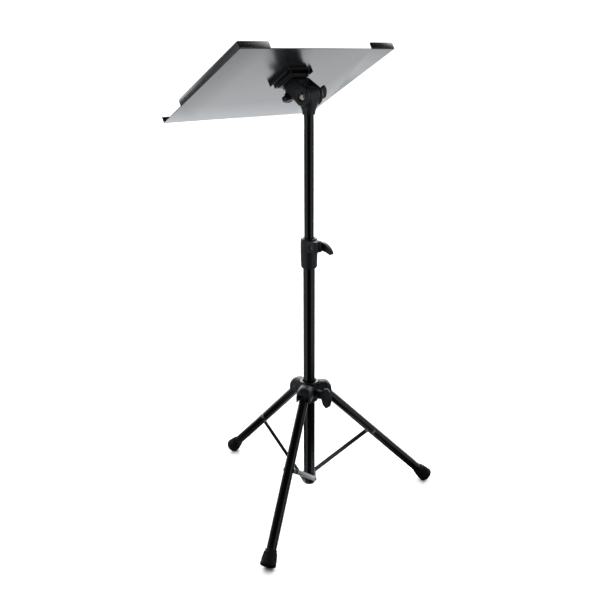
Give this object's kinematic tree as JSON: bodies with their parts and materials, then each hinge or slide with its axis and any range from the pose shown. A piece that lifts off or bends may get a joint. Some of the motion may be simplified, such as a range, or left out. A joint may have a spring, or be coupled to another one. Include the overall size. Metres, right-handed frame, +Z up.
{
  "type": "music stand",
  "caption": "Free-standing music stand with a flanged sheet desk on a tilting head, a telescopic mast with a lever clamp, and a folding braced tripod with rubber feet.",
  "frame": {"origin": "the point on the floor under the mast's axis", "axes": "+Z up along the mast; X along the desk's width; the musician stands on the -Y side and the desk slopes down towards -Y"},
  "size_m": [0.655, 0.5728, 1.2472],
  "materials": {
    "lower_tube": "satin black powder coat",
    "mast_plug": "moulded black plastic",
    "clamp_collar": "moulded black plastic, fine grain",
    "collar_bush": "black plastic",
    "clamp_bolt": "blackened steel",
    "clamp_lever": "moulded black plastic",
    "guide_bush": "black plastic",
    "inner_tube": "satin black powder coat",
    "hub": "moulded black plastic, satin",
    "hub_liner": "moulded black plastic",
    "leg_pins": "blackened steel",
    "hub_knob": "moulded black plastic",
    "hub_screw": "steel thread",
    "tilt_socket": "moulded black plastic",
    "tilt_yoke": "moulded black plastic",
    "tilt_washers": "black fibre",
    "tilt_bolt": "nickel-plated steel",
    "tilt_knob": "moulded black plastic",
    "head_plate": "satin black paint",
    "yoke_screws": "blackened steel",
    "desk_bracket": "satin black paint",
    "bracket_screws": "blackened steel",
    "desk_sheet": "satin black powder coat on sheet steel",
    "desk_knob": "moulded black plastic",
    "desk_screw": "steel thread",
    "leg_tube": "satin black powder coat",
    "leg_top": "moulded black plastic",
    "foot": "black rubber, moulded ribs",
    "strap": "black-coated flat steel, semi-gloss",
    "leg_rivet": "steel rivet",
    "plug_rivet": "steel rivet"
  },
  "bodies": {
    "mast": {"lower_tube": "lower_tube", "mast_plug": "mast_plug", "clamp_collar": "clamp_collar", "collar_bush": "collar_bush", "clamp_bolt": "clamp_bolt"},
    "clamp_lever": {"clamp_lever": "clamp_lever"},
    "hub": {"hub": "hub", "hub_liner": "hub_liner", "leg_pins": "leg_pins"},
    "hub_knob": {"hub_knob": "hub_knob", "hub_screw": "hub_screw"},
    "guide": {"guide_bush": "guide_bush"},
    "inner_mast": {"inner_tube": "inner_tube", "tilt_socket": "tilt_socket"},
    "head": {"tilt_yoke": "tilt_yoke", "tilt_washers": "tilt_washers", "tilt_bolt": "tilt_bolt", "head_plate": "head_plate", "yoke_screws": "yoke_screws"},
    "tilt_knob": {"tilt_knob": "tilt_knob"},
    "desk": {"desk_bracket": "desk_bracket", "bracket_screws": "bracket_screws", "desk_sheet": "desk_sheet"},
    "desk_knob": {"desk_knob": "desk_knob", "desk_screw": "desk_screw"},
    "leg_rear_right": {"leg_tube_rear_right": "leg_tube", "leg_top_rear_right": "leg_top", "foot_rear_right": "foot", "leg_rivet_rear_right": "leg_rivet"},
    "strap_rear_right": {"strap_rear_right": "strap", "plug_rivet_rear_right": "plug_rivet"},
    "leg_rear_left": {"leg_tube_rear_left": "leg_tube", "leg_top_rear_left": "leg_top", "foot_rear_left": "foot", "leg_rivet_rear_left": "leg_rivet"},
    "strap_rear_left": {"strap_rear_left": "strap", "plug_rivet_rear_left": "plug_rivet"},
    "leg_front": {"leg_tube_front": "leg_tube", "leg_top_front": "leg_top", "foot_front": "foot", "leg_rivet_front": "leg_rivet"},
    "strap_front": {"strap_front": "strap", "plug_rivet_front": "plug_rivet"}
  },
  "joints": [
    {"name": "clamp_lever_swing", "type": "hinge", "parent": "mast", "child": "clamp_lever", "pos_m": [0, 0.025, 0.744], "axis": [1, 0, 0], "range_deg": [0, 90]},
    {"name": "tripod_fold", "type": "slide", "parent": "mast", "child": "hub", "axis": [0, 0, 1], "range_m": [0, 0.1551]},
    {"name": "hub_knob_turn", "type": "hinge", "parent": "hub", "child": "hub_knob", "pos_m": [0, 0.048, 0.331], "axis": [0, 1, 0], "continuous": true},
    {"name": "mast_lift", "type": "slide", "parent": "mast", "child": "guide", "axis": [0, 0, 1], "range_m": [-0.275, 0.165]},
    {"name": "mast_swivel", "type": "hinge", "parent": "guide", "child": "inner_mast", "pos_m": [0, 0, 0.9], "axis": [0, 0, 1], "continuous": true},
    {"name": "desk_tilt", "type": "hinge", "parent": "inner_mast", "child": "head", "pos_m": [0, 0, 1.122], "axis": [1, 0, 0], "range_deg": [-29.1, 55]},
    {"name": "tilt_knob_turn", "type": "hinge", "parent": "head", "child": "tilt_knob", "pos_m": [-0.04, 0, 1.122], "axis": [1, 0, 0], "continuous": true},
    {"name": "desk_slide", "type": "slide", "parent": "head", "child": "desk", "axis": [0, -0.8738, -0.4863], "range_m": [0, 0.04]},
    {"name": "desk_knob_turn", "type": "hinge", "parent": "head", "child": "desk_knob", "pos_m": [0.009, -0.06702, 1.11903], "axis": [0, -0.4863, 0.8738], "continuous": true},
    {"name": "leg_fold_rear_right", "type": "hinge", "parent": "hub", "child": "leg_rear_right", "pos_m": [0.03291, 0.019, 0.3333], "axis": [-0.5, 0.866, 0], "range_deg": [0, 43.25]},
    {"name": "strap_turn_rear_right", "type": "hinge", "parent": "leg_rear_right", "child": "strap_rear_right", "pos_m": [0.16282, 0.094, 0.18434], "axis": [-0.5, 0.866, 0], "range_deg": [-86.64, 0]},
    {"name": "leg_fold_rear_left", "type": "hinge", "parent": "hub", "child": "leg_rear_left", "pos_m": [-0.03291, 0.019, 0.3333], "axis": [-0.5, -0.866, 0], "range_deg": [0, 43.25]},
    {"name": "strap_turn_rear_left", "type": "hinge", "parent": "leg_rear_left", "child": "strap_rear_left", "pos_m": [-0.16282, 0.094, 0.18434], "axis": [-0.5, -0.866, 0], "range_deg": [-86.64, 0]},
    {"name": "leg_fold_front", "type": "hinge", "parent": "hub", "child": "leg_front", "pos_m": [0, -0.038, 0.3333], "axis": [1, 0, 0], "range_deg": [0, 43.25]},
    {"name": "strap_turn_front", "type": "hinge", "parent": "leg_front", "child": "strap_front", "pos_m": [0, -0.188, 0.18434], "axis": [1, 0, 0], "range_deg": [-86.64, 0]}
  ],
  "couplings": [
    {"joint": "leg_fold_rear_right", "follows": "tripod_fold", "rad_per_m": 4.8596},
    {"joint": "strap_turn_rear_right", "follows": "tripod_fold", "rad_per_m": -9.7402},
    {"joint": "leg_fold_rear_left", "follows": "tripod_fold", "rad_per_m": 4.8596},
    {"joint": "strap_turn_rear_left", "follows": "tripod_fold", "rad_per_m": -9.7402},
    {"joint": "leg_fold_front", "follows": "tripod_fold", "rad_per_m": 4.8596},
    {"joint": "strap_turn_front", "follows": "tripod_fold", "rad_per_m": -9.7402}
  ]
}
